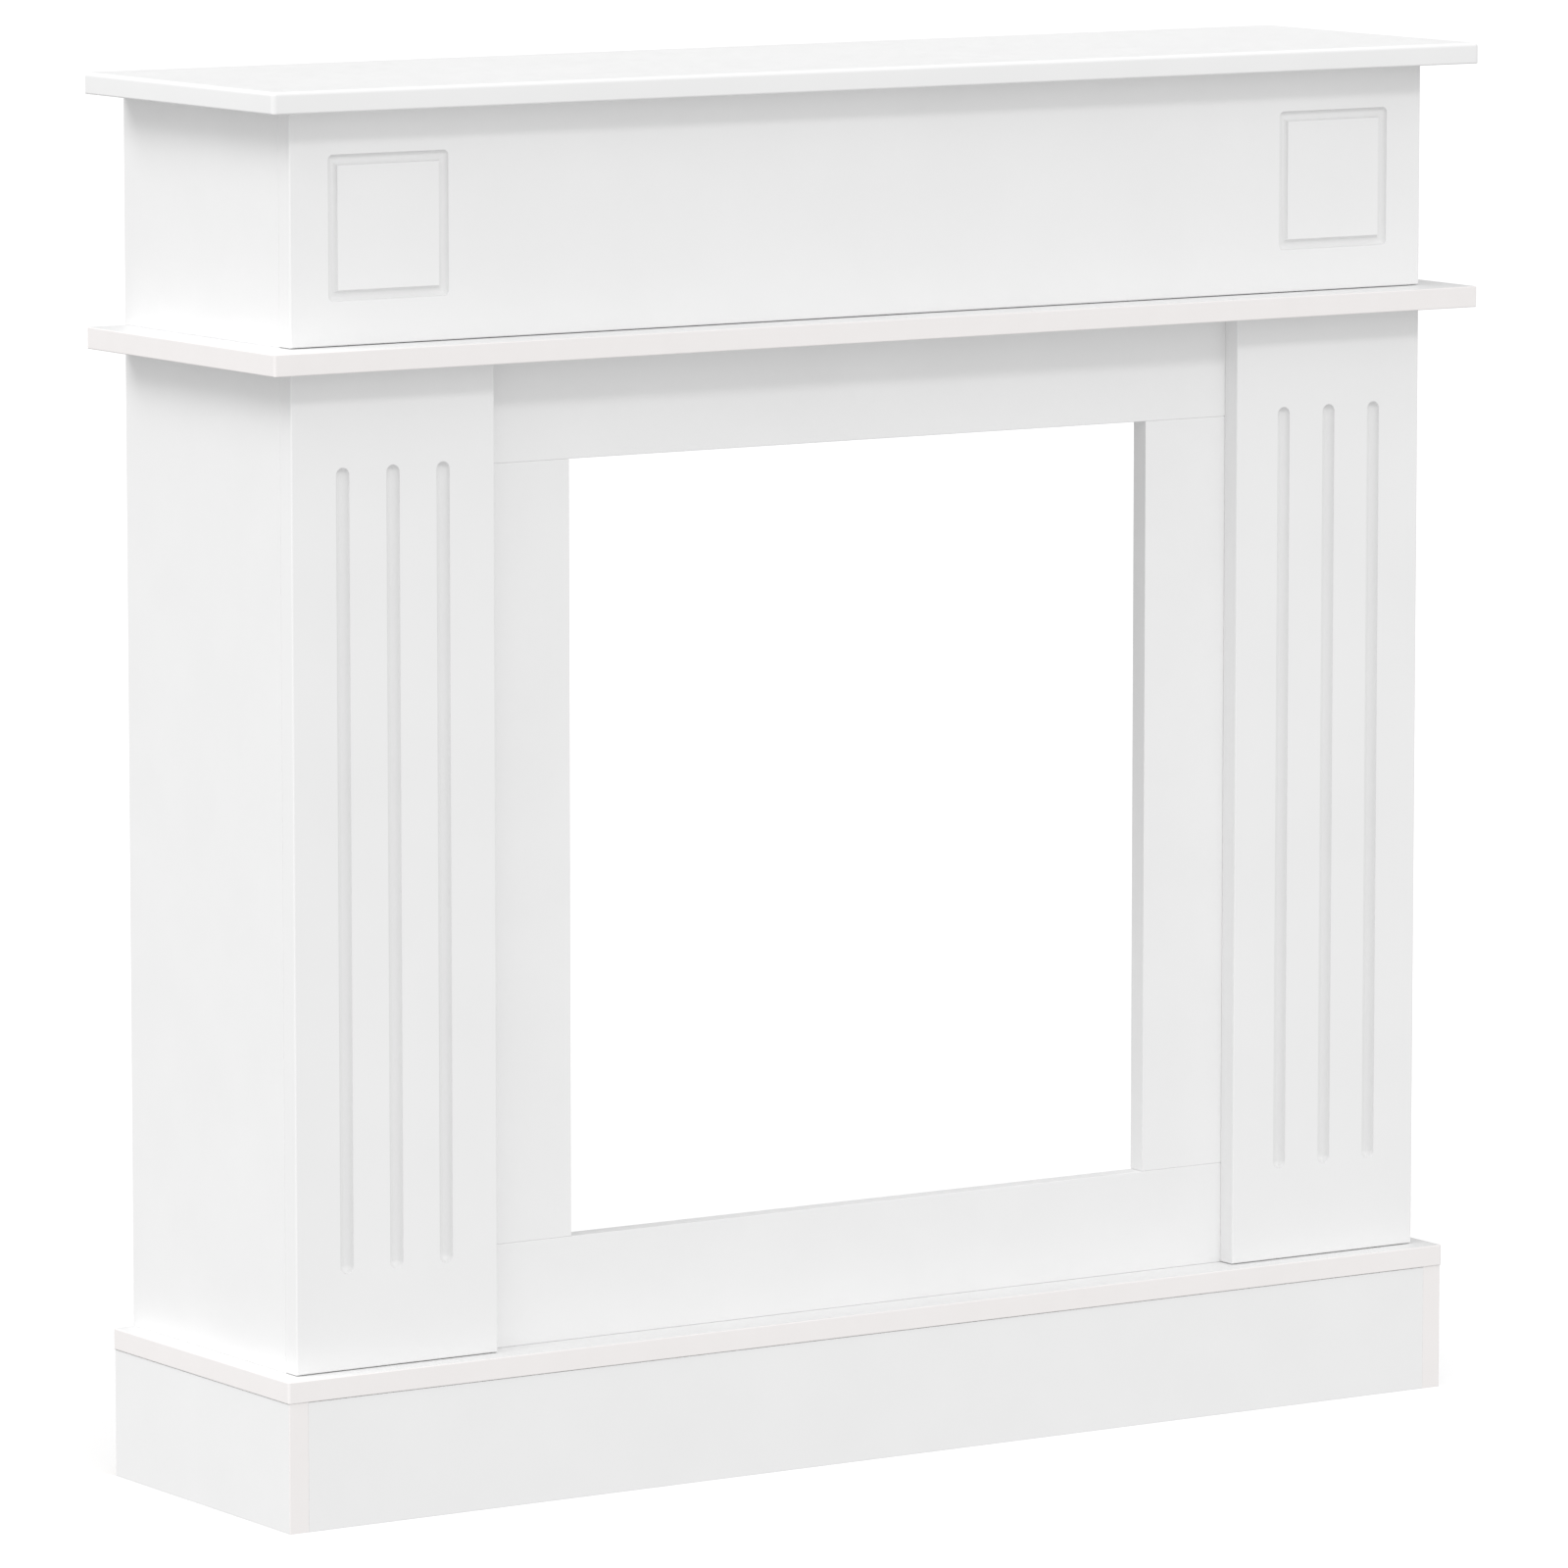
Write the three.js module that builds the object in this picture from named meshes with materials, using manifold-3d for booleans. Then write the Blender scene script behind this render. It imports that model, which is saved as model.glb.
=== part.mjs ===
// White flat-pack fireplace surround: a mantel shelf on a frieze, two fluted pilasters, a recessed
// frame round an open firebox, and a hearth on a plinth, all of 15 mm board and held together by
// cam locks, dowels, screws and brackets. Millimetres, +X right, -Y front, +Z up, with the origin
// on the floor in the middle of the surround's outline.

import * as THREE from 'three';
import { mergeVertices } from 'three/addons/utils/BufferGeometryUtils.js';
import Module from 'manifold-3d';

const wasm = await Module();
wasm.setup();

// ---- Driving dimensions, mm ----

const BOARD = 15;               // thickness of every board
const BODY_HALF = 470;          // half the width of the frieze and of the legs
const SIDE_DEPTH = 210;         // front to back length of the side panels
const OVERHANG = 30;            // of the mantel and the ledge, in front and at both ends
const BAND = 1;                 // thickness of the edge banding
const SHADOW_GAP = 1;           // open line under the frieze front and the pilasters

const PLINTH_HEIGHT = 90;
const LEG_HEIGHT = 685;
const FRIEZE_HEIGHT = 160;

const OPENING_HALF = 241;       // half the width of the firebox opening
const FRAME_RAIL = 72.5;        // height of the recessed frame's top and bottom rails
const PILASTER_WIDTH = 160;
const BACK_RAIL = 70;           // height of the rail behind the frieze
const STRETCHER = 80;           // height of the rail behind the legs

const FLUTE = { count: 3, pitch: 39.5, fromEdge: 40, width: 10, depth: 4.8, margin: 67, sides: 28 };
const SQUARE = { centre: 393, width: 87, height: 91.5, radius: 3.5, depth: 3.4, sides: 20 };

const CAM = {
  radius: 7.5, height: 12, recess: 0.2, holeRadius: 7.8, holeDepth: 12.5, sides: 24,
  backset: 34, cavityRadius: 5.5, cavityHeight: 7.2, slot: 4.6, slotPast: 26, entryRadius: 3.65,
  crossLength: 7, crossWidth: 1.4, crossDepth: 2.4,
};
const BOLT = {
  thread: 2.5, threadLength: 11, pilot: 2.8, pilotDepth: 11.5, collar: 3.7, collarEnd: 22,
  neck: 2, head: 3.25, headHeight: 3, bore: 4, gap: 0.3,
};
const SCREW = {
  radius: 3.5, length: 50, tip: 2, head: 5, headHeight: 2.5, rim: 1, sunk: 0.5, gap: 0.3,
};
const WOOD_SCREW = { radius: 2, length: 24.7, tip: 4, head: 3.9, headHeight: 2.4, sunk: 0.3, gap: 0.3 };
const DOWEL = { radius: 4, length: 30, below: 10, chamfer: 1, gap: 0.3 };
const BRACKET = { leaf: 25, width: 20, thickness: 2, holeRadius: 2.25, holeAt: 14 };

const CAM_Y = [['front', -40], ['rear', 85]];        // along the top edges of the side panels
const DOWEL_Y = [['front', -10], ['rear', 55]];
const PILASTER_SCREW_X = 371;                        // between two flutes
const PILASTER_SCREW_Z = [['low', 250], ['high', 640]];
const BRACKET_X = [['left', -150], ['right', 150]];
const WALL_BRACKET_Z = 640;
const SIDES = [['left', -1], ['right', 1]];

// ---- Planes and levels worked out from them ----

const BACK = (SIDE_DEPTH + BOARD + OVERHANG) / 2;
const CARCASS_FRONT = BACK - SIDE_DEPTH;
const FACE_FRONT = CARCASS_FRONT - BOARD;
const SHELF_FRONT = FACE_FRONT - OVERHANG;
const PLINTH_FRONT = FACE_FRONT - BOARD;
const SHELF_HALF = BODY_HALF + OVERHANG;
const PLINTH_HALF = BODY_HALF + BOARD;
const INNER_HALF = BODY_HALF - BOARD;
const PANEL_MIDDLE = BODY_HALF - BOARD / 2;          // the middle of a side panel's thickness

const HEARTH = [PLINTH_HEIGHT, PLINTH_HEIGHT + BOARD];
const LEG = [HEARTH[1], HEARTH[1] + LEG_HEIGHT];
const LEDGE = [LEG[1], LEG[1] + BOARD];
const FRIEZE = [LEDGE[1], LEDGE[1] + FRIEZE_HEIGHT];
const MANTEL = [FRIEZE[1], FRIEZE[1] + BOARD];

// ---- Materials ----

function finish(name, color, roughness, metalness) {
  const material = new THREE.MeshStandardMaterial({ color, roughness, metalness });
  material.name = name;
  return material;
}

const foil = finish('foil', 0xf3f3f2, 0.45, 0);
const melamine = finish('melamine', 0xf1f1f0, 0.5, 0);
const banding = finish('banding', 0xefe7e4, 0.5, 0);
const zinc = finish('zinc', 0xaeb1b4, 0.4, 1);
const steel = finish('steel', 0xc2c5c8, 0.35, 1);
const beech = finish('beech', 0xd8b787, 0.7, 0);

// ---- Solid geometry helpers ----

function toSolid(geometry) {
  const plain = geometry.clone();
  plain.deleteAttribute('normal');
  plain.deleteAttribute('uv');
  const welded = mergeVertices(plain);
  return new wasm.Manifold(new wasm.Mesh({
    numProp: 3,
    vertProperties: new Float32Array(welded.attributes.position.array),
    triVerts: new Uint32Array(welded.index.array),
  }));
}

function toGeometry(solid) {
  const mesh = solid.getMesh();
  const geometry = new THREE.BufferGeometry();
  geometry.setAttribute('position', new THREE.BufferAttribute(mesh.vertProperties, 3));
  geometry.setIndex(new THREE.BufferAttribute(mesh.triVerts, 1));
  geometry.computeVertexNormals();
  return geometry;
}

function cut(geometry, cutters) {
  const whole = toSolid(geometry);
  return toGeometry(cutters.reduce((solid, cutter) => solid.subtract(toSolid(cutter)), whole));
}

// A block between two limits on each axis.
function block(x, y, z) {
  const size = [x, y, z].map(([low, high]) => high - low);
  const middle = [x, y, z].map(([low, high]) => (low + high) / 2);
  return new THREE.BoxGeometry(...size).translate(...middle);
}

// A round rod between two points, which may taper.
function rod(start, end, radius, sides = 16, endRadius = radius) {
  const along = new THREE.Vector3(...end).sub(new THREE.Vector3(...start));
  const length = along.length();
  const geometry = new THREE.CylinderGeometry(endRadius, radius, length, sides);
  geometry.translate(0, length / 2, 0);
  const turn = new THREE.Quaternion().setFromUnitVectors(new THREE.Vector3(0, 1, 0), along.normalize());
  return geometry.applyQuaternion(turn).translate(...start);
}

// A turned piece along +Z from its [radius, height] outline.
function turned(outline, sides) {
  const points = outline.map(([radius, height]) => new THREE.Vector2(radius, height));
  return new THREE.LatheGeometry(points, sides).rotateX(Math.PI / 2);
}

// Limits on X for the left (side -1) or the right (side 1), given for the right.
function sided(side, near, far) {
  return side > 0 ? [near, far] : [-far, -near];
}

function place(name, geometry, material, position, basis) {
  const mesh = new THREE.Mesh(geometry, material);
  mesh.name = name;
  mesh.position.set(...position);
  if (basis) {
    const axes = basis.map((axis) => new THREE.Vector3(...axis));
    mesh.setRotationFromMatrix(new THREE.Matrix4().makeBasis(...axes));
  }
  return mesh;
}

// A board between its limits, its holes given in the surround's own frame.
function board(name, material, x, y, z, cutters = []) {
  const middle = [x, y, z].map(([low, high]) => (low + high) / 2);
  const whole = block(x, y, z);
  const shaped = cutters.length > 0 ? cut(whole, cutters) : whole;
  return place(name, shaped.translate(...middle.map((value) => -value)), material, middle);
}

// ---- Holes ----

// The blind pilot holes for the cam bolts, in a shelf's underside.
function boltPilots(underside) {
  return SIDES.flatMap(([, side]) => CAM_Y.map(([, y]) => rod(
    [side * PANEL_MIDDLE, y, underside - 1],
    [side * PANEL_MIDDLE, y, underside + BOLT.pilotDepth],
    BOLT.pilot,
  )));
}

// In a side panel, the round pockets for the cams and the bores down to them from its top edge.
function camPockets(side, top) {
  return CAM_Y.flatMap(([, y]) => {
    const z = top - CAM.backset;
    const mouth = side * (INNER_HALF - 1);
    const floor = side * (INNER_HALF + CAM.holeDepth);
    return [
      rod([mouth, y, z], [floor, y, z], CAM.holeRadius, CAM.sides),
      rod([side * PANEL_MIDDLE, y, top + 1], [side * PANEL_MIDDLE, y, z], BOLT.bore),
    ];
  });
}

// Through the hearth shelf and up into a side panel, for the long screws and their heads.
function screwHoles(side) {
  const radius = SCREW.radius + SCREW.gap;
  const headRadius = SCREW.head + SCREW.gap;
  const headTop = HEARTH[0] + SCREW.sunk + SCREW.headHeight + SCREW.gap;
  const end = HEARTH[0] + SCREW.sunk + SCREW.length + SCREW.tip;
  return CAM_Y.flatMap(([, y]) => {
    const x = side * PANEL_MIDDLE;
    return [
      rod([x, y, HEARTH[0] - 1], [x, y, end], radius),
      rod([x, y, HEARTH[0] - 1], [x, y, headTop], headRadius),
    ];
  });
}

// From the ledge up into a frieze side, for the dowels.
function dowelHoles(side) {
  const radius = DOWEL.radius + DOWEL.gap;
  const bottom = LEDGE[1] - DOWEL.below - DOWEL.gap;
  const top = bottom + DOWEL.length + 2 * DOWEL.gap;
  const x = side * PANEL_MIDDLE;
  return DOWEL_Y.map(([, y]) => rod([x, y, bottom], [x, y, top], radius));
}

// From the back of a frame stile into the pilaster in front of it.
function pilasterScrewHoles(side) {
  const radius = WOOD_SCREW.radius + WOOD_SCREW.gap;
  const headRadius = WOOD_SCREW.head + WOOD_SCREW.gap;
  const back = CARCASS_FRONT + BOARD;
  const headDepth = WOOD_SCREW.sunk + WOOD_SCREW.headHeight;
  const end = back - WOOD_SCREW.sunk - WOOD_SCREW.length - WOOD_SCREW.gap;
  const x = side * PILASTER_SCREW_X;
  return PILASTER_SCREW_Z.flatMap(([, z]) => [
    rod([x, back + 1, z], [x, end, z], radius, 12),
    rod([x, back, z], [x, back - headDepth, z], headRadius, 16, radius),
    rod([x, back + 1, z], [x, back, z], headRadius),
  ]);
}

// ---- Routed decoration ----

// One upright cove with round ends, cut into the front of a pilaster.
function flute(x) {
  const { width, depth, margin, sides } = FLUTE;
  const radius = (width * width / 4 + depth * depth) / (2 * depth);
  const y = FACE_FRONT - (radius - depth);
  const low = LEG[0] + margin + width / 2;
  const high = LEG[1] - margin - width / 2;
  const shaft = rod([x, y, low], [x, y, high], radius, sides);
  const ends = [low, high].map((z) => (
    new THREE.SphereGeometry(radius, sides, sides / 2).rotateX(Math.PI / 2).translate(x, y, z)
  ));
  return [shaft, ...ends];
}

function flutes(side) {
  const outermost = BODY_HALF - FLUTE.fromEdge;
  const places = Array.from({ length: FLUTE.count }, (_, i) => outermost - i * FLUTE.pitch);
  return places.flatMap((x) => flute(side * x));
}

// A square outline routed into the frieze with a round-nosed cutter: four runs and four corners.
function routedSquare(centre) {
  const { width, height, radius, depth, sides } = SQUARE;
  const y = FACE_FRONT - (radius - depth);
  const middle = (FRIEZE[0] + FRIEZE[1]) / 2;
  const turns = [[-1, -1], [1, -1], [1, 1], [-1, 1]];
  const corners = turns.map(([u, v]) => [centre + u * width / 2, y, middle + v * height / 2]);
  return corners.flatMap((corner, i) => [
    rod(corner, corners[(i + 1) % corners.length], radius, sides),
    new THREE.SphereGeometry(radius, sides, sides / 2).rotateX(Math.PI / 2).translate(...corner),
  ]);
}

// ---- Boards ----

function mantel() {
  const y = [SHELF_FRONT, BACK];
  return [board('mantel_shelf', foil, [-SHELF_HALF, SHELF_HALF], y, MANTEL, boltPilots(MANTEL[0]))];
}

function frieze() {
  const front = [FACE_FRONT, CARCASS_FRONT];
  const above = [FRIEZE[0] + SHADOW_GAP, FRIEZE[1]];
  const squares = SIDES.flatMap(([, side]) => routedSquare(side * SQUARE.centre));
  const panels = SIDES.map(([name, side]) => board(
    `frieze_side_${name}`,
    melamine,
    sided(side, INNER_HALF, BODY_HALF),
    [CARCASS_FRONT, BACK],
    FRIEZE,
    [...camPockets(side, FRIEZE[1]), ...dowelHoles(side)],
  ));
  return [
    board('frieze_front', foil, [-BODY_HALF, BODY_HALF], front, above, squares),
    ...panels,
    board('frieze_back_rail', melamine, [-INNER_HALF, INNER_HALF], [BACK - BOARD, BACK],
      [FRIEZE[1] - BACK_RAIL, FRIEZE[1]]),
  ];
}

// A shelf board with banding round its front and its two ends.
function bandedShelf(name, half, front, z, cutters) {
  const outline = new THREE.Shape();
  const corners = [
    [-half, BACK], [-half, front], [half, front], [half, BACK],
    [half - BAND, BACK], [half - BAND, front + BAND], [BAND - half, front + BAND], [BAND - half, BACK],
  ];
  corners.forEach(([x, y], i) => (i === 0 ? outline.moveTo(x, y) : outline.lineTo(x, y)));
  const strip = new THREE.ExtrudeGeometry(outline, { depth: BOARD, bevelEnabled: false });
  return [
    board(`${name}_shelf`, melamine, [BAND - half, half - BAND], [front + BAND, BACK], z, cutters),
    place(`${name}_edge_band`, strip, banding, [0, 0, z[0]]),
  ];
}

function ledge() {
  const cutters = [...boltPilots(LEDGE[0]), ...SIDES.flatMap(([, side]) => dowelHoles(side))];
  return bandedShelf('ledge', SHELF_HALF, SHELF_FRONT, LEDGE, cutters);
}

function hearth() {
  const cutters = SIDES.flatMap(([, side]) => screwHoles(side));
  return bandedShelf('hearth', PLINTH_HALF + BAND, PLINTH_FRONT - BAND, HEARTH, cutters);
}

function legs() {
  return SIDES.flatMap(([name, side]) => [
    board(
      `pilaster_front_${name}`,
      foil,
      sided(side, BODY_HALF - PILASTER_WIDTH, BODY_HALF),
      [FACE_FRONT, CARCASS_FRONT],
      [LEG[0] + SHADOW_GAP, LEG[1]],
      [...flutes(side), ...pilasterScrewHoles(side)],
    ),
    board(
      `leg_side_${name}`,
      melamine,
      sided(side, INNER_HALF, BODY_HALF),
      [CARCASS_FRONT, BACK],
      LEG,
      [...camPockets(side, LEG[1]), ...screwHoles(side)],
    ),
  ]);
}

function recessedFrame() {
  const y = [CARCASS_FRONT, CARCASS_FRONT + BOARD];
  const across = [-INNER_HALF, INNER_HALF];
  const opening = [LEG[0] + FRAME_RAIL, LEG[1] - FRAME_RAIL];
  const stiles = SIDES.map(([name, side]) => board(
    `frame_stile_${name}`,
    melamine,
    sided(side, OPENING_HALF, INNER_HALF),
    y,
    opening,
    pilasterScrewHoles(side),
  ));
  return [
    board('frame_top_rail', melamine, across, y, [opening[1], LEG[1]]),
    board('frame_bottom_rail', melamine, across, y, [LEG[0], opening[0]]),
    ...stiles,
    board('rear_stretcher', melamine, across, [BACK - BOARD, BACK], [LEG[1] - STRETCHER, LEG[1]]),
  ];
}

function plinth() {
  const z = [0, PLINTH_HEIGHT];
  const across = [-BODY_HALF, BODY_HALF];
  const inside = [PLINTH_FRONT + BOARD, BACK - BOARD];
  const ends = SIDES.flatMap(([name, side]) => {
    const x = sided(side, BODY_HALF, PLINTH_HALF);
    return [
      board(`plinth_side_${name}`, melamine, x, [PLINTH_FRONT + BAND, BACK], z),
      board(`plinth_edge_band_${name}`, banding, x, [PLINTH_FRONT, PLINTH_FRONT + BAND], z),
    ];
  });
  return [
    board('plinth_front', melamine, across, [PLINTH_FRONT, PLINTH_FRONT + BOARD], z),
    ...ends,
    board('plinth_back_rail', melamine, across, [BACK - BOARD, BACK], z),
    board('plinth_center_support', melamine, [-BOARD / 2, BOARD / 2], inside, z),
  ];
}

// ---- Fastenings ----

// A cam lock along +Z, its face at z = 0 and the bolt coming in along +Y. The hollow holds the
// bolt's head. The slot round half of the rim lets the bolt's neck past as the cam turns, down to
// the wide mouth at -Y that the head goes in by.
function camGeometry() {
  const middle = CAM.recess - BOARD / 2;
  const rim = CAM.radius + 1;
  const past = THREE.MathUtils.degToRad(CAM.slotPast);
  const sector = new THREE.Shape();
  sector.absarc(0, 0, rim, -Math.PI / 2 - past, Math.PI / 2 + past, false);
  sector.absarc(0, 0, CAM.cavityRadius - 1, Math.PI / 2 + past, -Math.PI / 2 - past, true);
  const slot = new THREE.ExtrudeGeometry(sector, {
    depth: CAM.slot, bevelEnabled: false, curveSegments: 12,
  }).translate(0, 0, middle - CAM.slot / 2);
  const cavity = rod([0, 0, middle - CAM.cavityHeight / 2], [0, 0, middle + CAM.cavityHeight / 2],
    CAM.cavityRadius);
  const entry = rod([0, 0, middle], [0, -rim, middle], CAM.entryRadius);
  const arm = [-CAM.crossLength / 2, CAM.crossLength / 2];
  const width = [-CAM.crossWidth / 2, CAM.crossWidth / 2];
  const depth = [-CAM.crossDepth, 1];
  const disc = rod([0, 0, -CAM.height], [0, 0, 0], CAM.radius, CAM.sides);
  return cut(disc, [slot, cavity, entry, block(arm, width, depth), block(width, arm, depth)]);
}

// A cam bolt hanging from z = 0: thread above, then collar, neck and head below.
function boltGeometry() {
  const headTop = BOLT.headHeight / 2 - CAM.backset;
  const headBottom = headTop - BOLT.headHeight;
  return turned([
    [0, headBottom], [BOLT.head, headBottom], [BOLT.head, headTop], [BOLT.neck, headTop],
    [BOLT.neck, -BOLT.collarEnd], [BOLT.collar, -BOLT.collarEnd], [BOLT.collar, -BOLT.gap],
    [BOLT.thread, -BOLT.gap], [BOLT.thread, BOLT.threadLength - 1], [0, BOLT.threadLength],
  ], 12);
}

function camsAndBolts() {
  const undersides = [['mantel', MANTEL[0]], ['ledge', LEDGE[0]]];
  return undersides.flatMap(([shelf, z]) => SIDES.flatMap(([name, side]) => (
    CAM_Y.flatMap(([end, y]) => {
      const label = `${shelf}_${name}_${end}`;
      const faceX = side * (INNER_HALF + CAM.recess);
      const basis = [[0, -side, 0], [0, 0, 1], [-side, 0, 0]];
      return [
        place(`cam_lock_${label}`, camGeometry(), zinc, [faceX, y, z - CAM.backset], basis),
        place(`cam_bolt_${label}`, boltGeometry(), steel, [side * PANEL_MIDDLE, y, z]),
      ];
    })
  )));
}

// A long screw up through the hearth shelf into the foot of a side panel.
function legScrews() {
  const { radius, length, tip, head, headHeight, rim, sunk } = SCREW;
  const outline = [
    [0, 0], [head, 0], [head, rim], [radius, headHeight], [radius, length], [0, length + tip],
  ];
  return SIDES.flatMap(([name, side]) => CAM_Y.map(([end, y]) => place(
    `leg_screw_${name}_${end}`,
    turned(outline, 12),
    steel,
    [side * PANEL_MIDDLE, y, HEARTH[0] + sunk],
  )));
}

// Beech dowels between the ledge and the frieze sides.
function friezeDowels() {
  const { radius, length, below, chamfer } = DOWEL;
  const outline = [
    [0, 0], [radius - chamfer, 0], [radius, chamfer],
    [radius, length - chamfer], [radius - chamfer, length], [0, length],
  ];
  return SIDES.flatMap(([name, side]) => DOWEL_Y.map(([end, y]) => place(
    `frieze_dowel_${name}_${end}`,
    turned(outline, 12),
    beech,
    [side * PANEL_MIDDLE, y, LEDGE[1] - below],
  )));
}

// Countersunk screws through the frame stiles that hold the pilasters.
function pilasterScrews() {
  const { radius, length, tip, head, headHeight, sunk } = WOOD_SCREW;
  const outline = [
    [0, 0], [head, 0], [radius, headHeight], [radius, length - tip], [0, length],
  ];
  const forwards = [[1, 0, 0], [0, 0, 1], [0, -1, 0]];
  return SIDES.flatMap(([name, side]) => PILASTER_SCREW_Z.map(([level, z]) => place(
    `pilaster_screw_${name}_${level}`,
    turned(outline, 12),
    steel,
    [side * PILASTER_SCREW_X, CARCASS_FRONT + BOARD - sunk, z],
    forwards,
  )));
}

// An angle bracket in the corner of its +X and +Z directions, with a hole in each leaf.
function bracketGeometry() {
  const { leaf, width, thickness, holeRadius, holeAt } = BRACKET;
  const profile = new THREE.Shape();
  const corners = [
    [0, 0], [leaf, 0], [leaf, thickness], [thickness, thickness], [thickness, leaf], [0, leaf],
  ];
  corners.forEach(([x, y], i) => (i === 0 ? profile.moveTo(x, y) : profile.lineTo(x, y)));
  const angle = new THREE.ExtrudeGeometry(profile, { depth: width, bevelEnabled: false });
  angle.rotateX(Math.PI / 2).translate(0, width / 2, 0);
  const clear = thickness + 1;
  return cut(angle, [
    rod([holeAt, 0, -1], [holeAt, 0, clear], holeRadius, 12),
    rod([-1, 0, holeAt], [clear, 0, holeAt], holeRadius, 12),
  ]);
}

function brackets() {
  const underShelf = [[0, 1, 0], [1, 0, 0], [0, 0, -1]];
  const corners = [['frieze', CARCASS_FRONT, MANTEL[0]], ['frame', CARCASS_FRONT + BOARD, LEDGE[0]]];
  const inCorners = corners.flatMap(([part, y, z]) => BRACKET_X.map(([name, x]) => (
    place(`${part}_bracket_${name}`, bracketGeometry(), steel, [x, y, z], underShelf)
  )));
  const toWall = {
    left: [[0, -1, 0], [0, 0, -1], [1, 0, 0]],
    right: [[-1, 0, 0], [0, 0, -1], [0, -1, 0]],
  };
  const atWall = SIDES.map(([name, side]) => place(
    `wall_bracket_${name}`,
    bracketGeometry(),
    steel,
    [side * INNER_HALF, BACK, WALL_BRACKET_Z],
    toWall[name],
  ));
  return [...inCorners, ...atWall];
}

// ---- The surround ----

const group = new THREE.Group();
group.add(
  ...mantel(),
  ...frieze(),
  ...ledge(),
  ...legs(),
  ...recessedFrame(),
  ...hearth(),
  ...plinth(),
  ...camsAndBolts(),
  ...legScrews(),
  ...friezeDowels(),
  ...pilasterScrews(),
  ...brackets(),
);

export default group;
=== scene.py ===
import math

import bmesh
import bpy
from mathutils import Matrix, Vector


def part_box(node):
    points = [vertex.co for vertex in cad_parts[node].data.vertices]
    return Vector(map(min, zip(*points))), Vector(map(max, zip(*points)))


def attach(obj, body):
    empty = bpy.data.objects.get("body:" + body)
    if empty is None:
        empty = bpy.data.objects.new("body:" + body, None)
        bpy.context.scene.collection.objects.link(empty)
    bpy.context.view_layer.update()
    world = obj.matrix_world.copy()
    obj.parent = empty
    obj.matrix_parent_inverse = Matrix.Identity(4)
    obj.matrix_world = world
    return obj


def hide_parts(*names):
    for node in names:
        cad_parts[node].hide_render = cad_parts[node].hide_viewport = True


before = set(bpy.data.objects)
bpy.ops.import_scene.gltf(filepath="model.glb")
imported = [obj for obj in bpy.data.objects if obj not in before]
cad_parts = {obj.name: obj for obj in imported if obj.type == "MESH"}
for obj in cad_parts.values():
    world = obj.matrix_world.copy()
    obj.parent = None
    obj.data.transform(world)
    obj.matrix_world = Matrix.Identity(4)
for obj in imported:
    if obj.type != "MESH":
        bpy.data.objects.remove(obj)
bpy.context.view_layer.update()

# White flat-pack fireplace surround. Metres, in the frame of the CAD model: +X right, -Y out of
# the front, +Z up. Every board is made again here with rounded edges, routed decoration and the
# pockets of its fittings, between the limits of the CAD board that it stands for.

MM = 0.001
ARRIS = 0.35 * MM               # the broken edge of a cut board
SEAM = 0.08 * MM                # drawn back from a joint, so that it reads as a fine line
OPEN_SEAM = 0.3 * MM            # the wider line where the hearth lies on the plinth
DROP = 0.5 * MM                 # how far the foil-wrapped fronts close the gap under them
BUTT = 0.6 * MM                 # the eased edges of the frame's butt joints
SHARP = math.radians(35)
BODY = "surround"
CORE, INSIDE = 1, 2             # which of a board's finishes its raw edge and its hollows take; in routed foil the hollows take a darker foil as painted shade
SIDES = (("left", -1), ("right", 1))
AXES = "xyz"
PLANES = ("-x", "+x", "-y", "+y", "-z", "+z")

MANTEL = {"top": 3.0 * MM, "corner": 3.5 * MM, "under": 1.2 * MM}
FRONT_EDGE = 1.2 * MM           # round the face of the frieze front and of the pilasters
BAND_EDGE = 0.8 * MM
BAND_CORNER = 2.0 * MM
BANDED = 0.1 * MM               # the edge of a shelf beside its banding

FLUTE = {"count": 3, "pitch": 39.5 * MM, "from_edge": 40 * MM, "width": 10 * MM,
         "depth": 4.8 * MM, "margin": 67 * MM}
SQUARE = {"centre": 393 * MM, "width": 87 * MM, "height": 91.5 * MM, "groove": 7 * MM,
          "depth": 3.4 * MM}
LIP = 0.4 * MM                  # how far the edge of a routed hollow is eased into the face

# A countersink and a pan-head screw, each as (radius, depth or height) from the face inwards.
SINK = ((4.3 * MM, 0.0), (4.2 * MM, 0.1 * MM), (4.2 * MM, 0.3 * MM), (2.3 * MM, 2.7 * MM))
PAN_HEIGHT = 2.1 * MM
PAN_HEAD = ((2.2 * MM, 0.0), (3.0 * MM, -0.25 * MM), (3.6 * MM, -0.9 * MM), (3.8 * MM, -1.7 * MM),
            (3.8 * MM, -PAN_HEIGHT), (2.0 * MM, -PAN_HEIGHT), (2.0 * MM, -13 * MM),
            (0.3 * MM, -16 * MM))
POINT = 4 * MM                  # the length of the point of a wood screw
CAM_HOLE = {"radius": 7.8 * MM, "depth": 12.5 * MM}
HEAD_HOLE = {"radius": 5.3 * MM, "depth": 3.3 * MM}
CROSS = {"leg": (2.6 * MM, 2.0 * MM), "pilaster": (2.1 * MM, 1.6 * MM), "pan": (2.0 * MM, 1.3 * MM)}
BRACKET = {"leaf": 25 * MM, "width": 20 * MM, "thickness": 2 * MM, "bend": 3 * MM,
           "corner": 4 * MM, "hole": 2.25 * MM, "hole_at": 14 * MM}
TURNED = 0.2 * MM               # the rounded edges of the cam locks


# ---- Materials ----

SPREAD = (0.3, 0.7)             # the part of a noise's range that is put to use
COARSER = 7                     # how many grains wide the drift of the roughness is


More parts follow.
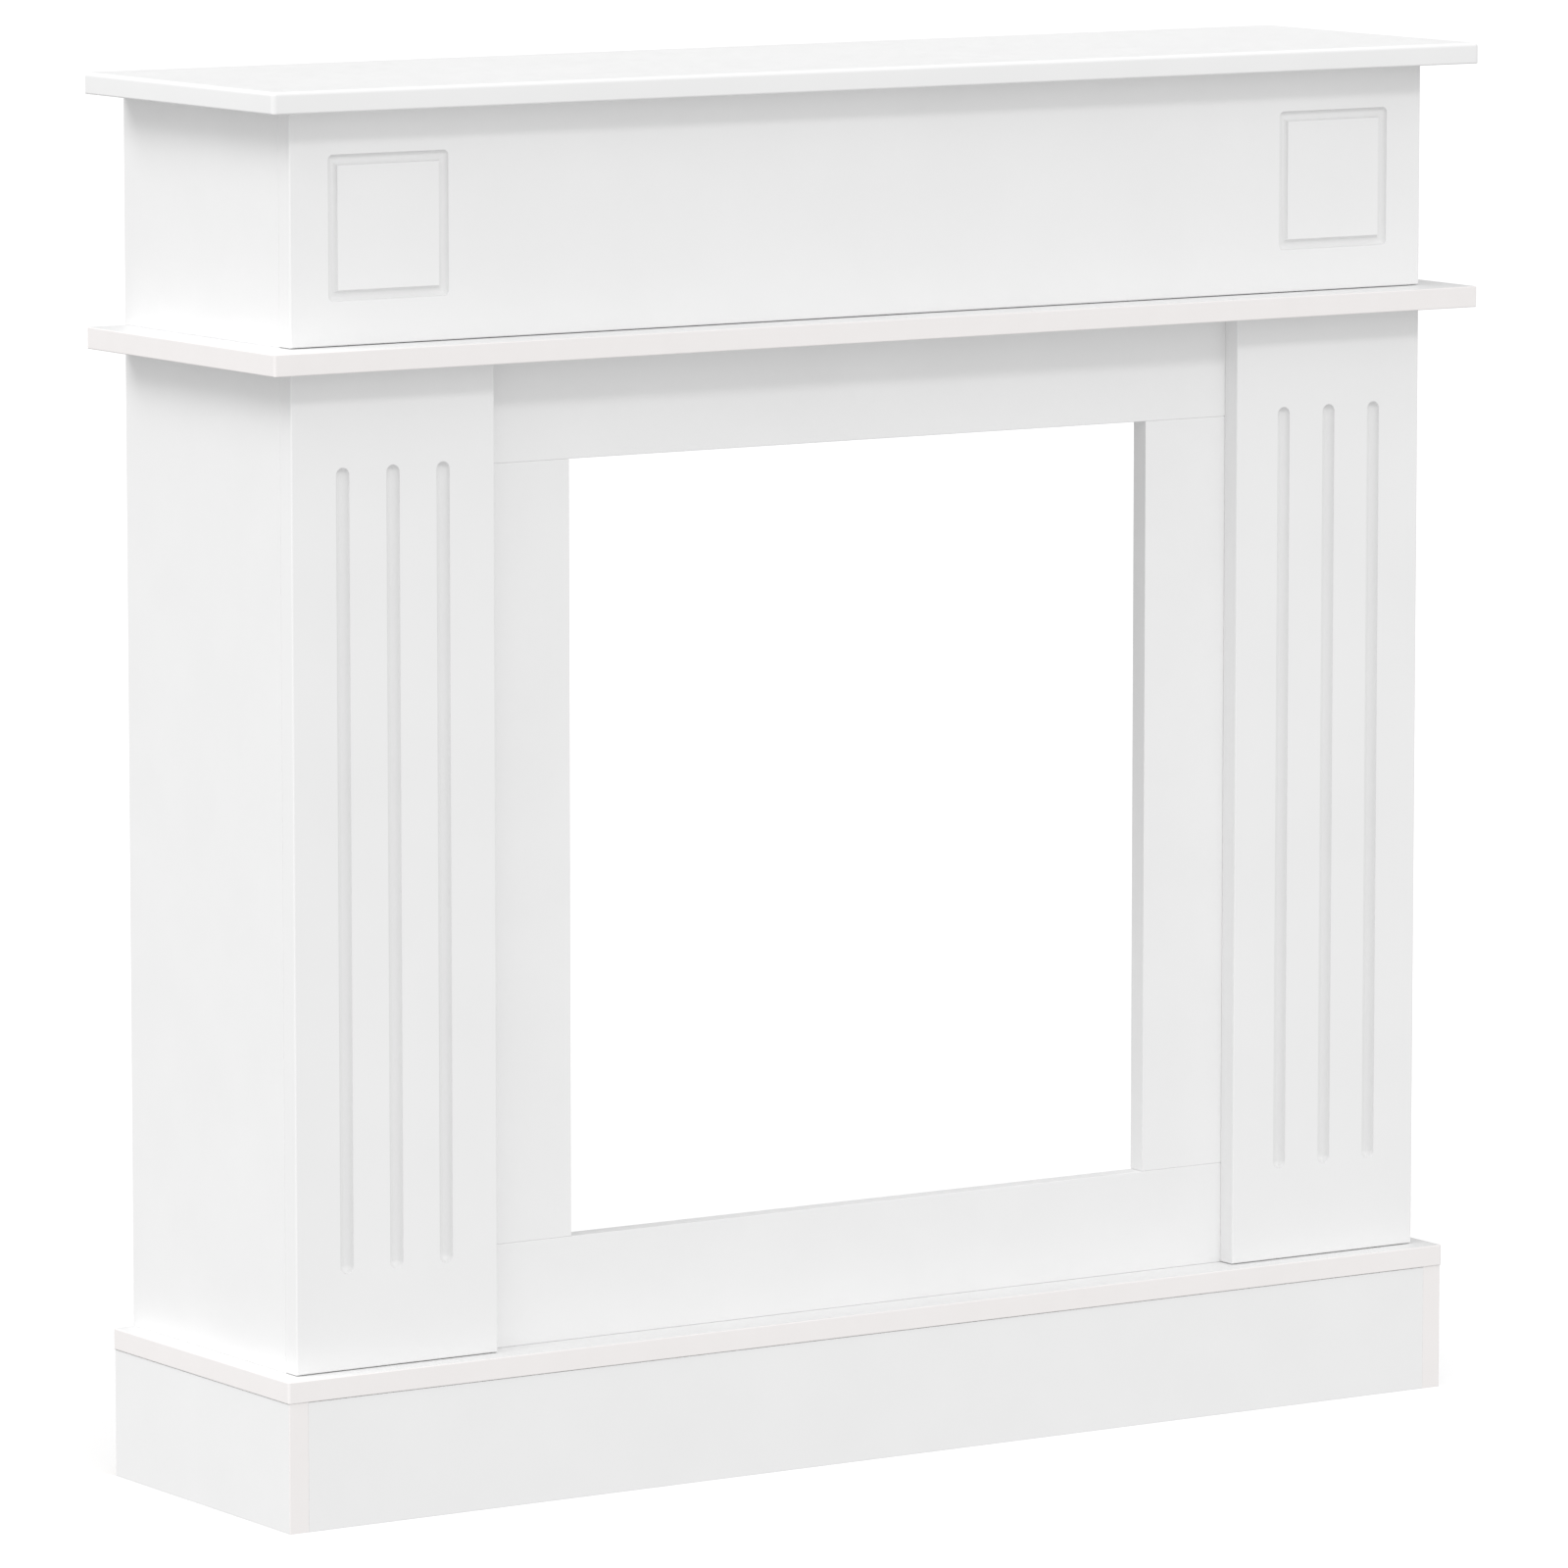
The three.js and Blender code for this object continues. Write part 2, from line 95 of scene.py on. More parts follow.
def surface(name, colours, patch, roughness, grain, depth, metallic=0.0, ior=1.5, detail=3.0):
    """A finish whose colour drifts between two over patches, with a fine grain in its relief."""
    made = bpy.data.materials.new(name)
    made.use_nodes = True
    nodes, links = made.node_tree.nodes, made.node_tree.links
    shader = nodes["Principled BSDF"]
    place = nodes.new("ShaderNodeTexCoord").outputs["Object"]

    def noise(size, octaves):
        node = nodes.new("ShaderNodeTexNoise")
        node.inputs["Scale"].default_value = 1.0 / size
        node.inputs["Detail"].default_value = octaves
        node.inputs["Roughness"].default_value = 0.55
        links.new(place, node.inputs["Vector"])
        return node.outputs["Fac"]

    ramp = nodes.new("ShaderNodeValToRGB")
    for element, position, colour in zip(ramp.color_ramp.elements, SPREAD, colours):
        element.position = position
        element.color = (*colour, 1.0)
    links.new(noise(patch, detail), ramp.inputs["Fac"])
    links.new(ramp.outputs["Color"], shader.inputs["Base Color"])

    drift = nodes.new("ShaderNodeMapRange")
    drift.inputs["From Min"].default_value, drift.inputs["From Max"].default_value = SPREAD
    drift.inputs["To Min"].default_value, drift.inputs["To Max"].default_value = roughness
    links.new(noise(grain * COARSER, 2.0), drift.inputs["Value"])
    links.new(drift.outputs["Result"], shader.inputs["Roughness"])

    relief = nodes.new("ShaderNodeBump")
    relief.inputs["Distance"].default_value = depth
    links.new(noise(grain, 2.0), relief.inputs["Height"])
    links.new(relief.outputs["Normal"], shader.inputs["Normal"])

    shader.inputs["Metallic"].default_value = metallic
    shader.inputs["IOR"].default_value = ior
    return made


def timber(name, dark, light):
    """Straight-grained wood, its lines running along Z."""
    made = surface(name, (dark, light), 4 * MM, (0.55, 0.7), 0.6 * MM, 0.05 * MM)
    nodes, links = made.node_tree.nodes, made.node_tree.links
    stretch = nodes.new("ShaderNodeMapping")
    stretch.inputs["Scale"].default_value = (1.0, 1.0, 0.08)
    place = nodes["Texture Coordinate"].outputs["Object"]
    links.new(place, stretch.inputs["Vector"])
    for node in [n for n in nodes if n.bl_idname == "ShaderNodeTexNoise"]:
        links.new(stretch.outputs["Vector"], node.inputs["Vector"])
    return made


FOIL = surface("foil", ((0.846, 0.846, 0.846), (0.862, 0.862, 0.862)), 90 * MM, (0.36, 0.46),
               1.3 * MM, 0.012 * MM)
# A darker copy of the foil for the routed hollows: painted shade where the flutes and grooves lie
# recessed.
PAINTED_SHADE_FOIL = surface("foil_painted_shade", ((0.794, 0.794, 0.794), (0.810, 0.810, 0.810)), 90 * MM,
                 (0.45, 0.55), 1.3 * MM, 0.012 * MM)
MELAMINE = surface("melamine", ((0.842, 0.842, 0.842), (0.858, 0.858, 0.858)), 60 * MM,
                   (0.42, 0.54), 0.7 * MM, 0.014 * MM)
BANDING = surface("banding", ((0.864, 0.838, 0.830), (0.878, 0.852, 0.845)), 25 * MM,
                  (0.35, 0.45), 0.9 * MM, 0.01 * MM)
CHIPBOARD = surface("chipboard", ((0.26, 0.17, 0.09), (0.66, 0.51, 0.34)), 2.4 * MM, (0.75, 0.95),
                    1.2 * MM, 0.25 * MM, detail=6.0)
FIBREBOARD = surface("fibreboard", ((0.40, 0.28, 0.17), (0.49, 0.36, 0.23)), 1.1 * MM, (0.8, 0.95),
                     0.5 * MM, 0.08 * MM, detail=5.0)
ZINC = surface("zinc", ((0.50, 0.51, 0.52), (0.62, 0.63, 0.64)), 3 * MM, (0.32, 0.5),
               0.5 * MM, 0.02 * MM, metallic=1.0)
STEEL = surface("steel", ((0.60, 0.61, 0.62), (0.70, 0.71, 0.72)), 5 * MM, (0.24, 0.38),
                0.6 * MM, 0.008 * MM, metallic=1.0)
BEECH = timber("beech", (0.52, 0.35, 0.20), (0.68, 0.50, 0.32))
FLOOR = surface("floor", ((0.915, 0.915, 0.915), (0.925, 0.925, 0.925)), 900 * MM, (0.75, 0.85),
                4 * MM, 0.02 * MM)


# ---- Shapes ----

def prism(outline, low, high, lie=None):
    """An outline in X and Y, stood up between two heights, then laid by a matrix if one is given."""
    bm = bmesh.new()
    rings = [[bm.verts.new((x, y, z)) for x, y in outline] for z in (low, high)]
    bm.faces.new(reversed(rings[0]))
    bm.faces.new(rings[1])
    for i in range(len(outline)):
        j = (i + 1) % len(outline)
        bm.faces.new((rings[0][i], rings[0][j], rings[1][j], rings[1][i]))
    if lie:
        bm.transform(lie)
    bmesh.ops.recalc_face_normals(bm, faces=bm.faces)
    return bm


def limits(bm):
    points = [v.co for v in bm.verts]
    return [(min(p[a] for p in points), max(p[a] for p in points)) for a in range(3)]


def planes_of(verts, box):
    """The names, such as -y, of the box's planes that all the vertices lie in."""
    return {sign + AXES[a] for a in range(3) for sign, value in zip("-+", box[a])
            if all(abs(v.co[a] - value) < 1e-7 for v in verts)}


def rounded(bm, radii, segments=4):
    """The same shape with its edges rounded. Each entry of radii names one or two planes of its
    box and gives the radius of the edges in them; the first entry that fits an edge counts."""
    box = limits(bm)
    widest = max(radii.values())
    weight = bm.edges.layers.float.new("bevel_weight_edge")
    for edge in bm.edges:
        planes = planes_of(edge.verts, box)
        found = [r for names, r in radii.items() if set(names.split()) <= planes]
        if len(planes) > 1 and found:
            edge[weight] = found[0] / widest
    mesh = bpy.data.meshes.new("blank")
    bm.to_mesh(mesh)
    bm.free()
    blank = bpy.data.objects.new("blank", mesh)
    bpy.context.scene.collection.objects.link(blank)
    bevel = blank.modifiers.new("edges", "BEVEL")
    bevel.limit_method = "WEIGHT"
    bevel.width = widest
    bevel.segments = segments
    bevel.use_clamp_overlap = False
    done = bmesh.new()
    done.from_object(blank, bpy.context.evaluated_depsgraph_get())
    bpy.data.objects.remove(blank)
    bpy.data.meshes.remove(mesh)
    return done


def around(centre, radius, depth, sides=32):
    """One ring of points about a centre, each with the depth below the face."""
    turns = [math.tau * i / sides for i in range(sides)]
    return [(centre[0] + radius * math.cos(t), centre[1] + radius * math.sin(t), depth)
            for t in turns]


def cove(half, depth, steps=9):
    """Offsets inwards from the edge of a half-round hollow to its middle, with their depths. The
    edge itself is eased into the face."""
    start = math.radians(14)
    turns = [start + (math.pi / 2 - start) * i / steps for i in range(steps + 1)]
    return [(-LIP, 0.0), (-LIP * 0.35, depth * 0.02), (-LIP * 0.05, depth * 0.1),
            *((half * (1 - math.cos(t)), depth * math.sin(t)) for t in turns)]


def flute_rings(u, low, high):
    """An upright flute with round ends, as rings from its edge down to its middle line."""
    half, turn = FLUTE["width"] / 2, 14
    rings = []
    for offset, depth in cove(half, FLUTE["depth"])[:-1]:
        radius = half - offset
        ring = []
        for end, middle in ((0, high - half), (1, low + half)):
            for i in range(turn + 1):
                angle = math.pi * (i / turn + end)
                ring.append((u + radius * math.cos(angle), middle + radius * math.sin(angle), depth))
        rings.append(ring)
    return rings


def square_rings(u, v):
    """A half-round groove along a square, its outer corners round and its inner ones sharp."""
    half = (SQUARE["width"] / 2, SQUARE["height"] / 2)
    reach, turn = SQUARE["groove"] / 2, 6
    outer = [(reach - offset, depth) for offset, depth in cove(reach, SQUARE["depth"])[:-1]]
    across = outer + [(0.0, SQUARE["depth"])] + [(-out, depth) for out, depth in reversed(outer)]
    rings = []
    for out, down in across:
        ring = []
        for quarter, (a, b) in enumerate(((1, 1), (-1, 1), (-1, -1), (1, -1))):
            for i in range(turn + 1):
                angle = math.pi / 2 * (quarter + i / turn)
                du, dv = (math.cos(angle), math.sin(angle)) if out > 0 else (a, b)
                ring.append((u + a * half[0] + out * du, v + b * half[1] + out * dv, down))
        rings.append(ring)
    return rings


def pocket_rings(centre, radius, depth, lip=0.2 * MM):
    return [around(centre, radius + lip, 0.0), around(centre, radius, lip),
            around(centre, radius, depth)]


def lay(bm, box, face, ring):
    """A ring's points as vertices in or below one face, points that coincide sharing one."""
    a = AXES.index(face[1])
    b, c = [k for k in range(3) if k != a]
    verts = []
    for u, v, depth in ring:
        point = [0.0, 0.0, 0.0]
        point[a] = box[a][0] + depth if face[0] == "-" else box[a][1] - depth
        point[b], point[c] = u, v
        if verts and (verts[-1].co - Vector(point)).length < 1e-7:
            verts.append(verts[-1])
        else:
            verts.append(bm.verts.new(point))
    return verts


def closed(verts):
    """A ring without its repeats."""
    return [v for i, v in enumerate(verts) if v is not verts[i - 1]]


def span(bm, one, other):
    """The band of faces between two rings of the same count."""
    made = []
    for i in range(len(one)):
        corners = []
        for v in (one[i - 1], one[i], other[i], other[i - 1]):
            if v not in corners:
                corners.append(v)
        if len(corners) > 2:
            made.append(bm.faces.new(corners))
    return made


def loop_edges(bm, verts):
    ring = closed(verts)
    return [bm.edges.get((ring[i - 1], ring[i])) or bm.edges.new((ring[i - 1], ring[i]))
            for i in range(len(ring))]


def flat_face(bm, box, face):
    inside = [f for f in bm.faces if face in planes_of(f.verts, box)]
    return max(inside, key=lambda f: f.calc_area())


def fill(bm, edges, axis, sign):
    direction = Vector((0.0, 0.0, 0.0))
    direction[axis] = sign
    bmesh.ops.triangle_fill(bm, use_beauty=True, edges=edges, normal=direction)


def carve(bm, box, face, hollows):
    """Cuts hollows, each a list of rings from its edge inwards, into one flat face. A hollow whose
    last ring comes back up to the face is a groove round an island; others end in a floor."""
    old = flat_face(bm, box, face)
    edges = list(old.edges)
    bm.faces.remove(old)
    for rings in hollows:
        laid = [lay(bm, box, face, ring) for ring in rings]
        walls = [wall for pair in zip(laid, laid[1:]) for wall in span(bm, *pair)]
        end = bm.faces.new(closed(laid[-1]))
        end_depth = rings[-1][0][2]
        if end_depth > 0.0:
            walls.append(end)
        for wall in walls:
            wall.material_index = INSIDE
        edges += loop_edges(bm, laid[0])
    fill(bm, edges, AXES.index(face[1]), -1.0 if face[0] == "-" else 1.0)


def drill(bm, axis, levels, centre, radius):
    """A round hole through a plate that lies between two levels on one axis."""
    b, c = [k for k in range(3) if k != axis]
    rims = []
    for level, sign in zip(levels, (-1.0, 1.0)):
        flat = [f for f in bm.faces if all(abs(v.co[axis] - level) < 1e-7 for v in f.verts)]
        old = max(flat, key=lambda f: f.calc_area())
        edges = list(old.edges)
        bm.faces.remove(old)
        ring = []
        for u, v, _ in around(centre, radius, 0.0, 20):
            point = [0.0, 0.0, 0.0]
            point[axis], point[b], point[c] = level, u, v
            ring.append(bm.verts.new(point))
        fill(bm, edges + loop_edges(bm, ring), axis, sign)
        rims.append(ring)
    span(bm, *rims)


def cross_ring(arm, half, height):
    """The twelve corners of a cross at one height."""
    points = []
    for c, s in ((1, 0), (0, 1), (-1, 0), (0, -1)):
        for x, y in ((half, half), (arm, half), (arm, -half)):
            points.append((x * c + y * s, y * c - x * s, height))
    return points


def screw_shape(outline, arm, depth):
    """A turned screw hanging from z = 0 by its (radius, height) outline, with a cross recess in
    the flat of its head."""
    bm = bmesh.new()
    rings = [[bm.verts.new((x, y, height)) for x, y, _ in around((0, 0), radius, 0.0, 28)]
             for radius, height in outline]
    for one, other in zip(rings, rings[1:]):
        span(bm, one, other)
    bm.faces.new(rings[-1])
    half = arm * 0.24
    mouth, bottom = cross_ring(arm, half, 0.0), cross_ring(arm * 0.6, half * 0.8, -depth)
    recess = [[bm.verts.new(point) for point in ring] for ring in (mouth, bottom)]
    span(bm, *recess)
    bm.faces.new(recess[-1])
    fill(bm, loop_edges(bm, rings[0]) + loop_edges(bm, recess[0]), 2, 1.0)
    return bm


# ---- Pieces ----

def piece(name, bm, finishes, raw=None, stands_for=()):
    """One named piece on the surround. raw names the plane whose faces show the core."""
    bmesh.ops.recalc_face_normals(bm, faces=bm.faces)
    box = limits(bm)
    for face in bm.faces:
        face.smooth = True
        if raw in planes_of(face.verts, box):
            face.material_index = CORE
    for edge in bm.edges:
        edge.smooth = edge.calc_face_angle(0.0) < SHARP
    mesh = bpy.data.meshes.new(name)
    bm.to_mesh(mesh)
    bm.free()
    made = bpy.data.objects.new(name, mesh)
    bpy.context.scene.collection.objects.link(made)
    for finish in finishes:
        mesh.materials.append(finish)
    normals = made.modifiers.new("normals", "WEIGHTED_NORMAL")
    normals.keep_sharp = True
    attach(made, BODY)
    if stands_for:
        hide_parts(*stands_for)
    return made


def board(node, finish, radii=None, inset="", hollows=None, raw=None, core=CHIPBOARD,
          inside=CHIPBOARD, seam=SEAM, drop=0.0):
    """A board in the place of a CAD node. inset names the planes drawn back by a hair where the
    board meets another; hollows gives what is cut into each face, which shows the inside finish:
    the raw core in pockets, a darker foil as painted shade in routed hollows; drop lowers the
    bottom edge."""
    low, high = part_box(node)
    box = [[low[a], high[a]] for a in range(3)]
    for face in inset.split():
        a = AXES.index(face[1])
        box[a][0 if face[0] == "-" else 1] += seam if face[0] == "-" else -seam
    box[2][0] -= drop
    (x0, x1), (y0, y1), z = box
    bm = prism([(x0, y0), (x1, y0), (x1, y1), (x0, y1)], *z)
    radii = dict(radii or {})
    for plane in PLANES:
        radii.setdefault(plane, ARRIS)
    bm = rounded(bm, radii)
    for face, cuts in (hollows or {}).items():
        carve(bm, box, face, cuts)
    return piece(f"{node}_board", bm, [finish, core, inside], raw, [node])


def pilaster(name, side):
    """The front of a leg, with three flutes counted from its outer edge."""
    node = f"pilaster_front_{name}"
    low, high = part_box(node)
    outer = high.x if side > 0 else low.x
    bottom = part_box("hearth_shelf")[1].z + FLUTE["margin"]
    top = high.z - FLUTE["margin"]
    flutes = [flute_rings(outer - side * (FLUTE["from_edge"] + i * FLUTE["pitch"]), bottom, top)
              for i in range(FLUTE["count"])]
    # The flutes take a darker foil than the face: painted shade in the hollows.
    board(node, FOIL, {"-y": FRONT_EDGE}, "+z", {"-y": flutes}, core=FIBREBOARD,
          inside=PAINTED_SHADE_FOIL, drop=DROP)


def side_panel(node, side):
    """A side of the frieze or of the legs, with a pocket for each cam in its inner face."""
    shelf = "mantel" if node.startswith("frieze") else "ledge"
    name = "left" if side < 0 else "right"
    pockets = []
    for end in ("front", "rear"):
        low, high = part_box(f"cam_lock_{shelf}_{name}_{end}")
        middle = (low + high) / 2
        pockets.append(pocket_rings((middle.y, middle.z), **CAM_HOLE))
    inner = "+x" if side < 0 else "-x"
    board(node, MELAMINE, None, "-y +z", {inner: pockets}, raw="+y")


def band(node, shelf=True, outer=""):
    """Edge banding: round three sides of a shelf, or along one edge of a plinth side."""
    low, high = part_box(node)
    if shelf:
        core_low, core_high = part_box(node.replace("edge_band", "shelf"))
        outline = [(low.x, high.y), (low.x, low.y), (high.x, low.y), (high.x, high.y),
                   (core_high.x, high.y), (core_high.x, core_low.y), (core_low.x, core_low.y),
                   (core_low.x, high.y)]
        radii = {"-x -y": BAND_CORNER, "+x -y": BAND_CORNER, "-y": BAND_EDGE, "-x": BAND_EDGE,
                 "+x": BAND_EDGE}
    else:
        outline = [(low.x, low.y), (high.x, low.y), (high.x, high.y), (low.x, high.y)]
        radii = {f"{outer} -y": BAND_EDGE, "-y": ARRIS / 2}
    bm = rounded(prism(outline, low.z, high.z), radii)
    piece(f"{node}_strip", bm, [BANDING], stands_for=[node])


def boards():
    board("mantel_shelf", FOIL, {
        "+y": ARRIS, "-x -y": MANTEL["corner"], "+x -y": MANTEL["corner"], "+z": MANTEL["top"],
        "-z": MANTEL["under"],
    }, raw="+y", core=FIBREBOARD)

    low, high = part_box("frieze_front")
    shelf_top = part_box("ledge_shelf")[1].z
    squares = [square_rings(side * SQUARE["centre"], (shelf_top + high.z) / 2) for _, side in SIDES]
    # The square grooves take a darker foil than the face: painted shade in the hollows.
    board("frieze_front", FOIL, {"-y": FRONT_EDGE}, "+z", {"-y": squares}, core=FIBREBOARD,
          inside=PAINTED_SHADE_FOIL, drop=DROP)

    board("frieze_back_rail", MELAMINE, None, "-x +x +z")
    banded = {"-x": BANDED, "+x": BANDED, "-y": BANDED}
    board("ledge_shelf", MELAMINE, banded, raw="+y")
    screw_holes = []
    for name, _ in SIDES:
        for end in ("front", "rear"):
            low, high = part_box(f"leg_screw_{name}_{end}")
            middle = (low + high) / 2
            screw_holes.append(pocket_rings((middle.x, middle.y), **HEAD_HOLE))
    board("hearth_shelf", MELAMINE, banded, hollows={"-z": screw_holes}, raw="+y")
    for name, side in SIDES:
        pilaster(name, side)
        side_panel(f"frieze_side_{name}", side)
        side_panel(f"leg_side_{name}", side)
        sinks = []
        for level in ("low", "high"):
            low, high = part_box(f"pilaster_screw_{name}_{level}")
            middle = (low.x + high.x) / 2, (low.z + high.z) / 2
            sinks.append([around(middle, radius, depth) for radius, depth in SINK])
        board(f"frame_stile_{name}", MELAMINE, {"-z": BUTT, "+z": BUTT},
              hollows={"+y": sinks})
        board(f"plinth_side_{name}", MELAMINE, {"-y": BANDED}, "+z", raw="+y",
              seam=OPEN_SEAM)
        band(f"plinth_edge_band_{name}", shelf=False, outer="-x" if side < 0 else "+x")
    band("ledge_edge_band")
    band("hearth_edge_band")
    board("frame_top_rail", MELAMINE, {"-z": BUTT}, "+z -x +x")
    board("frame_bottom_rail", MELAMINE, {"+z": BUTT}, "-z -x +x")
    board("rear_stretcher", MELAMINE, None, "-x +x +z")
    board("plinth_front", MELAMINE, {"-x": ARRIS / 2, "+x": ARRIS / 2}, "+z",
          seam=OPEN_SEAM)
    board("plinth_back_rail", MELAMINE, None, "-x +x +z")
    board("plinth_center_support", MELAMINE, None, "-y +y +z")


# ---- Fittings ----

def driven(name, outline, at, out, cross, stands_for=()):
    """A screw driven in at a point, its head facing out along a direction. cross is the reach of
    its recess's arms and the depth of the recess."""
    bm = screw_shape(outline, *cross)
    turn = Vector(out).to_track_quat("Z", "Y").to_matrix().to_4x4()
    bm.transform(Matrix.Translation(at) @ turn)
    piece(name, bm, [STEEL], stands_for=stands_for)


def leg_screws():
    for name, _ in SIDES:
        for end in ("front", "rear"):
            node = f"leg_screw_{name}_{end}"
            low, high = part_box(node)
            head, length = (high.x - low.x) / 2, high.z - low.z
            shank = head * 0.7
            outline = [(head - 0.4 * MM, 0.0), (head, -0.4 * MM), (head, -1.0 * MM),
                       (shank, -2.5 * MM), (shank, POINT - length), (0.4 * MM, -length)]
            at = ((low.x + high.x) / 2, (low.y + high.y) / 2, low.z)
            driven(f"{node}_driven", outline, at, (0, 0, -1), CROSS["leg"], [node])


def pilaster_screws():
    for name, _ in SIDES:
        for level in ("low", "high"):
            node = f"pilaster_screw_{name}_{level}"
            low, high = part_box(node)
            head, length = (high.x - low.x) / 2, high.y - low.y
            shank = head * 0.52
            outline = [(head - 0.15 * MM, 0.0), (head, -0.15 * MM), (shank, -2.4 * MM),
                       (shank, POINT - length), (0.3 * MM, -length)]
            at = ((low.x + high.x) / 2, high.y, (low.z + high.z) / 2)
            driven(f"{node}_driven", outline, at, (0, 1, 0), CROSS["pilaster"], [node])


def bracket(node, one, other):
    """An angle bracket whose leaves leave its corner along two directions, with a pan-head screw
    in each leaf but one that lies against the wall."""
    leaf, width, thick, bend = (BRACKET[k] for k in ("leaf", "width", "thickness", "bend"))
    steps = 6
    turns = [math.pi / 2 * i / steps for i in range(steps + 1)]
    outer = [(bend - bend * math.cos(t), bend - bend * math.sin(t)) for t in turns]
    inner = [(bend - (bend - thick) * math.sin(t), bend - (bend - thick) * math.cos(t))
             for t in turns]
    profile = [(0.0, leaf), *outer, (leaf, 0.0), (leaf, thick), *inner, (thick, leaf)]
    bm = prism(profile, -width / 2, width / 2, Matrix.Rotation(math.pi / 2, 4, "X"))
    corner = BRACKET["corner"]
    bm = rounded(bm, {f"{a} {b}": corner for a in ("+x", "+z") for b in ("-y", "+y")}, steps)
    drill(bm, 2, (0.0, thick), (BRACKET["hole_at"], 0.0), BRACKET["hole"])
    drill(bm, 0, (0.0, thick), (0.0, BRACKET["hole_at"]), BRACKET["hole"])
    x, z = Vector(one), Vector(other)
    y = z.cross(x)
    low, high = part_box(node)
    way = x + z
    at = Vector([(low[k] + high[k]) / 2 if way[k] == 0 else low[k] if way[k] > 0 else high[k]
                 for k in range(3)])
    place = Matrix.Translation(at) @ Matrix((x, y, z)).transposed().to_4x4()
    bm.transform(place)
    piece(f"{node}_angle", bm, [STEEL], stands_for=[node])
    for i, (lies, out) in enumerate(((x, z), (z, x))):
        on_wall = lies.x != 0
        if not on_wall:
            seat = at + lies * BRACKET["hole_at"] + out * (thick + PAN_HEIGHT)
            driven(f"{node}_screw_{i + 1}", PAN_HEAD, seat, out, CROSS["pan"])


def brackets():
    for name, side in SIDES:
        bracket(f"frieze_bracket_{name}", (0, 1, 0), (0, 0, -1))
        bracket(f"frame_bracket_{name}", (0, 1, 0), (0, 0, -1))
        if side < 0:
            bracket(f"wall_bracket_{name}", (0, -1, 0), (1, 0, 0))
        else:
            bracket(f"wall_bracket_{name}", (-1, 0, 0), (0, -1, 0))


def turned_edges(made, width):
    """Small rounded edges on a fitting that is shown as the CAD model has it."""
    weld = made.modifiers.new("weld", "WELD")
    weld.merge_threshold = 0.01 * MM
    flats = made.modifiers.new("flats", "DECIMATE")
    flats.decimate_type = "DISSOLVE"
    flats.angle_limit = math.radians(1)
    bevel = made.modifiers.new("edges", "BEVEL")
    bevel.limit_method = "ANGLE"
    bevel.angle_limit = math.radians(40)
    bevel.width = width
    bevel.segments = 2
    made.modifiers.new("normals", "WEIGHTED_NORMAL").keep_sharp = True


boards()
leg_screws()
pilaster_screws()
brackets()

for node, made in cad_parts.items():
    finish = ZINC if node.startswith("cam_lock") else BEECH if "dowel" in node else STEEL
    made.data.materials.clear()
    made.data.materials.append(finish)
    if node.startswith("cam_lock"):
        turned_edges(made, TURNED)


# ---- Studio ----

# The world's strength, the way it grows brighter, and the floor's own glow.
WORLD = 0.67
LEAN = (-0.22, -0.38, 0.40)
GLOW = 0.34
# Each lamp: its name, the way to it from the surround, its strength and its spread in degrees.
LAMPS = [
    ("key", (0.05, -1.0, 0.75), 0.5, 7.5),
    ("side", (-1.0, 0.45, 1.1), 1.06, 34.0),
    ("side_front", (-1.0, -0.12, 1.0), 0.34, 20.0),
]
FLOOR_REACH = 60.0
CAMERA = {"at": (-3.947, -6.0396, 1.4292), "turn": 33.087, "down": 7.603, "lens": 236.33}


